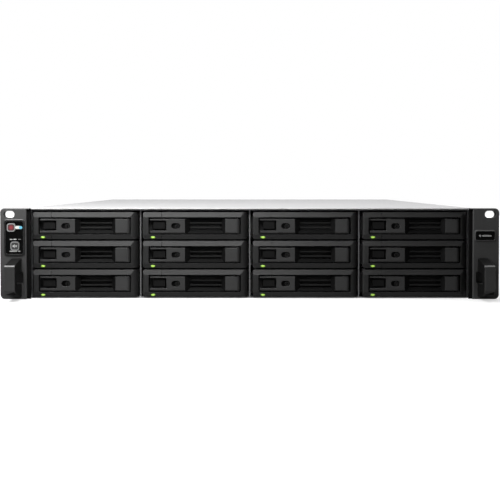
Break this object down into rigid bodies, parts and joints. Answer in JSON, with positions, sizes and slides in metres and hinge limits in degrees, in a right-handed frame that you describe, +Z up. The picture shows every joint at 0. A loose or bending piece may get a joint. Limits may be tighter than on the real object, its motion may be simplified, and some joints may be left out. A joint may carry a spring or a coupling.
{
  "type": "network attached storage",
  "caption": "Rack-mount two-unit storage server with hot-swap drive trays behind swing levers, pull handles on both ears, hot-swap power supplies and a sliding top cover.",
  "frame": {"origin": "bottom centre of the whole object's box, over handles and ears", "axes": "+X right seen from the front, +Y from the front panel to the rear, +Z up"},
  "size_m": [0.4826, 0.724, 0.088],
  "materials": {
    "tray_plastic": "fine textured black moulding",
    "lever_plastic": "fine textured black moulding",
    "button_plastic": "darker black moulding",
    "body_steel": "galvanised sheet, fine grain",
    "cover_steel": "light grey satin powder coat",
    "screw_steel": "zinc plated",
    "bracket_black": "black powder coat",
    "ear_plastic": "fine textured black moulding",
    "handle_plastic": "satin black moulding",
    "window_gloss": "polished black",
    "key_plastic": "satin grey moulding",
    "board_green": "solder-masked circuit board",
    "fan_plastic": "glass-filled black moulding",
    "heatsink_aluminium": "extruded, brushed base",
    "supply_steel": "galvanised sheet case",
    "latch_plastic": "green moulded touch point"
  },
  "bodies": {
    "chassis": {"chassis_base": "body_steel", "drive_cage": "body_steel", "rack_ear_brackets": "bracket_black", "body_screws": "screw_steel", "ear_covers": "ear_plastic", "pull_handles": "handle_plastic", "control_window": "window_gloss", "name_plate": "window_gloss", "backplane": "board_green", "fan_frames": "fan_plastic", "mainboard": "board_green", "heatsink": "heatsink_aluminium"},
    "cover": {"top_cover": "cover_steel", "cover_screws": "screw_steel"},
    "power_button": {"power_button": "key_plastic"},
    "mute_button": {"mute_button": "key_plastic"},
    "tray_01": {"drive_tray_01": "tray_plastic"},
    "lever_01": {"tray_lever_01": "lever_plastic"},
    "button_01": {"release_button_01": "button_plastic"},
    "tray_02": {"drive_tray_02": "tray_plastic"},
    "lever_02": {"tray_lever_02": "lever_plastic"},
    "button_02": {"release_button_02": "button_plastic"},
    "tray_03": {"drive_tray_03": "tray_plastic"},
    "lever_03": {"tray_lever_03": "lever_plastic"},
    "button_03": {"release_button_03": "button_plastic"},
    "tray_04": {"drive_tray_04": "tray_plastic"},
    "lever_04": {"tray_lever_04": "lever_plastic"},
    "button_04": {"release_button_04": "button_plastic"},
    "tray_05": {"drive_tray_05": "tray_plastic"},
    "lever_05": {"tray_lever_05": "lever_plastic"},
    "button_05": {"release_button_05": "button_plastic"},
    "tray_06": {"drive_tray_06": "tray_plastic"},
    "lever_06": {"tray_lever_06": "lever_plastic"},
    "button_06": {"release_button_06": "button_plastic"},
    "tray_07": {"drive_tray_07": "tray_plastic"},
    "lever_07": {"tray_lever_07": "lever_plastic"},
    "button_07": {"release_button_07": "button_plastic"},
    "tray_08": {"drive_tray_08": "tray_plastic"},
    "lever_08": {"tray_lever_08": "lever_plastic"},
    "button_08": {"release_button_08": "button_plastic"},
    "tray_09": {"drive_tray_09": "tray_plastic"},
    "lever_09": {"tray_lever_09": "lever_plastic"},
    "button_09": {"release_button_09": "button_plastic"},
    "tray_10": {"drive_tray_10": "tray_plastic"},
    "lever_10": {"tray_lever_10": "lever_plastic"},
    "button_10": {"release_button_10": "button_plastic"},
    "tray_11": {"drive_tray_11": "tray_plastic"},
    "lever_11": {"tray_lever_11": "lever_plastic"},
    "button_11": {"release_button_11": "button_plastic"},
    "tray_12": {"drive_tray_12": "tray_plastic"},
    "lever_12": {"tray_lever_12": "lever_plastic"},
    "button_12": {"release_button_12": "button_plastic"},
    "fan_1": {"impeller_1": "fan_plastic"},
    "fan_2": {"impeller_2": "fan_plastic"},
    "fan_3": {"impeller_3": "fan_plastic"},
    "fan_4": {"impeller_4": "fan_plastic"},
    "supply_1": {"psu_1": "supply_steel"},
    "supply_latch_1": {"psu_latch_1": "latch_plastic"},
    "supply_2": {"psu_2": "supply_steel"},
    "supply_latch_2": {"psu_latch_2": "latch_plastic"}
  },
  "joints": [
    {"name": "power_button_press", "type": "slide", "parent": "chassis", "child": "power_button", "axis": [0, 1, 0], "range_m": [0, 0.0008], "stiffness_N_per_m": 900},
    {"name": "mute_button_press", "type": "slide", "parent": "chassis", "child": "mute_button", "axis": [0, 1, 0], "range_m": [0, 0.0008], "stiffness_N_per_m": 900},
    {"name": "cover_slide", "type": "slide", "parent": "chassis", "child": "cover", "axis": [0, 1, 0], "range_m": [0, 0.015]},
    {"name": "supply_1_slide", "type": "slide", "parent": "chassis", "child": "supply_1", "axis": [0, 1, 0], "range_m": [0, 0.15]},
    {"name": "supply_latch_1_press", "type": "slide", "parent": "supply_1", "child": "supply_latch_1", "axis": [-1, 0, 0], "range_m": [0, 0.0025], "stiffness_N_per_m": 900},
    {"name": "supply_2_slide", "type": "slide", "parent": "chassis", "child": "supply_2", "axis": [0, 1, 0], "range_m": [0, 0.15]},
    {"name": "supply_latch_2_press", "type": "slide", "parent": "supply_2", "child": "supply_latch_2", "axis": [-1, 0, 0], "range_m": [0, 0.0025], "stiffness_N_per_m": 900},
    {"name": "fan_1_spin", "type": "hinge", "parent": "chassis", "child": "fan_1", "pos_m": [-0.1575, -0.09, 0.043], "axis": [0, -1, 0], "continuous": true},
    {"name": "fan_2_spin", "type": "hinge", "parent": "chassis", "child": "fan_2", "pos_m": [-0.0525, -0.09, 0.043], "axis": [0, -1, 0], "continuous": true},
    {"name": "fan_3_spin", "type": "hinge", "parent": "chassis", "child": "fan_3", "pos_m": [0.0525, -0.09, 0.043], "axis": [0, -1, 0], "continuous": true},
    {"name": "fan_4_spin", "type": "hinge", "parent": "chassis", "child": "fan_4", "pos_m": [0.1575, -0.09, 0.043], "axis": [0, -1, 0], "continuous": true},
    {"name": "tray_01_slide", "type": "slide", "parent": "chassis", "child": "tray_01", "axis": [0, -1, 0], "range_m": [0, 0.15]},
    {"name": "lever_01_swing", "type": "hinge", "parent": "tray_01", "child": "lever_01", "pos_m": [-0.1202, -0.3191, 0.0709], "axis": [0, 0, 1], "range_deg": [0, 55]},
    {"name": "button_01_press", "type": "slide", "parent": "tray_01", "child": "button_01", "axis": [0, 1, 0], "range_m": [0, 0.0022], "stiffness_N_per_m": 800},
    {"name": "tray_02_slide", "type": "slide", "parent": "chassis", "child": "tray_02", "axis": [0, -1, 0], "range_m": [0, 0.15]},
    {"name": "lever_02_swing", "type": "hinge", "parent": "tray_02", "child": "lever_02", "pos_m": [-0.0132, -0.3191, 0.0709], "axis": [0, 0, 1], "range_deg": [0, 55]},
    {"name": "button_02_press", "type": "slide", "parent": "tray_02", "child": "button_02", "axis": [0, 1, 0], "range_m": [0, 0.0022], "stiffness_N_per_m": 800},
    {"name": "tray_03_slide", "type": "slide", "parent": "chassis", "child": "tray_03", "axis": [0, -1, 0], "range_m": [0, 0.15]},
    {"name": "lever_03_swing", "type": "hinge", "parent": "tray_03", "child": "lever_03", "pos_m": [0.0938, -0.3191, 0.0709], "axis": [0, 0, 1], "range_deg": [0, 55]},
    {"name": "button_03_press", "type": "slide", "parent": "tray_03", "child": "button_03", "axis": [0, 1, 0], "range_m": [0, 0.0022], "stiffness_N_per_m": 800},
    {"name": "tray_04_slide", "type": "slide", "parent": "chassis", "child": "tray_04", "axis": [0, -1, 0], "range_m": [0, 0.15]},
    {"name": "lever_04_swing", "type": "hinge", "parent": "tray_04", "child": "lever_04", "pos_m": [0.2008, -0.3191, 0.0709], "axis": [0, 0, 1], "range_deg": [0, 55]},
    {"name": "button_04_press", "type": "slide", "parent": "tray_04", "child": "button_04", "axis": [0, 1, 0], "range_m": [0, 0.0022], "stiffness_N_per_m": 800},
    {"name": "tray_05_slide", "type": "slide", "parent": "chassis", "child": "tray_05", "axis": [0, -1, 0], "range_m": [0, 0.15]},
    {"name": "lever_05_swing", "type": "hinge", "parent": "tray_05", "child": "lever_05", "pos_m": [-0.1202, -0.3191, 0.04285], "axis": [0, 0, 1], "range_deg": [0, 55]},
    {"name": "button_05_press", "type": "slide", "parent": "tray_05", "child": "button_05", "axis": [0, 1, 0], "range_m": [0, 0.0022], "stiffness_N_per_m": 800},
    {"name": "tray_06_slide", "type": "slide", "parent": "chassis", "child": "tray_06", "axis": [0, -1, 0], "range_m": [0, 0.15]},
    {"name": "lever_06_swing", "type": "hinge", "parent": "tray_06", "child": "lever_06", "pos_m": [-0.0132, -0.3191, 0.04285], "axis": [0, 0, 1], "range_deg": [0, 55]},
    {"name": "button_06_press", "type": "slide", "parent": "tray_06", "child": "button_06", "axis": [0, 1, 0], "range_m": [0, 0.0022], "stiffness_N_per_m": 800},
    {"name": "tray_07_slide", "type": "slide", "parent": "chassis", "child": "tray_07", "axis": [0, -1, 0], "range_m": [0, 0.15]},
    {"name": "lever_07_swing", "type": "hinge", "parent": "tray_07", "child": "lever_07", "pos_m": [0.0938, -0.3191, 0.04285], "axis": [0, 0, 1], "range_deg": [0, 55]},
    {"name": "button_07_press", "type": "slide", "parent": "tray_07", "child": "button_07", "axis": [0, 1, 0], "range_m": [0, 0.0022], "stiffness_N_per_m": 800},
    {"name": "tray_08_slide", "type": "slide", "parent": "chassis", "child": "tray_08", "axis": [0, -1, 0], "range_m": [0, 0.15]},
    {"name": "lever_08_swing", "type": "hinge", "parent": "tray_08", "child": "lever_08", "pos_m": [0.2008, -0.3191, 0.04285], "axis": [0, 0, 1], "range_deg": [0, 55]},
    {"name": "button_08_press", "type": "slide", "parent": "tray_08", "child": "button_08", "axis": [0, 1, 0], "range_m": [0, 0.0022], "stiffness_N_per_m": 800},
    {"name": "tray_09_slide", "type": "slide", "parent": "chassis", "child": "tray_09", "axis": [0, -1, 0], "range_m": [0, 0.15]},
    {"name": "lever_09_swing", "type": "hinge", "parent": "tray_09", "child": "lever_09", "pos_m": [-0.1202, -0.3191, 0.0148], "axis": [0, 0, 1], "range_deg": [0, 55]},
    {"name": "button_09_press", "type": "slide", "parent": "tray_09", "child": "button_09", "axis": [0, 1, 0], "range_m": [0, 0.0022], "stiffness_N_per_m": 800},
    {"name": "tray_10_slide", "type": "slide", "parent": "chassis", "child": "tray_10", "axis": [0, -1, 0], "range_m": [0, 0.15]},
    {"name": "lever_10_swing", "type": "hinge", "parent": "tray_10", "child": "lever_10", "pos_m": [-0.0132, -0.3191, 0.0148], "axis": [0, 0, 1], "range_deg": [0, 55]},
    {"name": "button_10_press", "type": "slide", "parent": "tray_10", "child": "button_10", "axis": [0, 1, 0], "range_m": [0, 0.0022], "stiffness_N_per_m": 800},
    {"name": "tray_11_slide", "type": "slide", "parent": "chassis", "child": "tray_11", "axis": [0, -1, 0], "range_m": [0, 0.15]},
    {"name": "lever_11_swing", "type": "hinge", "parent": "tray_11", "child": "lever_11", "pos_m": [0.0938, -0.3191, 0.0148], "axis": [0, 0, 1], "range_deg": [0, 55]},
    {"name": "button_11_press", "type": "slide", "parent": "tray_11", "child": "button_11", "axis": [0, 1, 0], "range_m": [0, 0.0022], "stiffness_N_per_m": 800},
    {"name": "tray_12_slide", "type": "slide", "parent": "chassis", "child": "tray_12", "axis": [0, -1, 0], "range_m": [0, 0.15]},
    {"name": "lever_12_swing", "type": "hinge", "parent": "tray_12", "child": "lever_12", "pos_m": [0.2008, -0.3191, 0.0148], "axis": [0, 0, 1], "range_deg": [0, 55]},
    {"name": "button_12_press", "type": "slide", "parent": "tray_12", "child": "button_12", "axis": [0, 1, 0], "range_m": [0, 0.0022], "stiffness_N_per_m": 800}
  ]
}
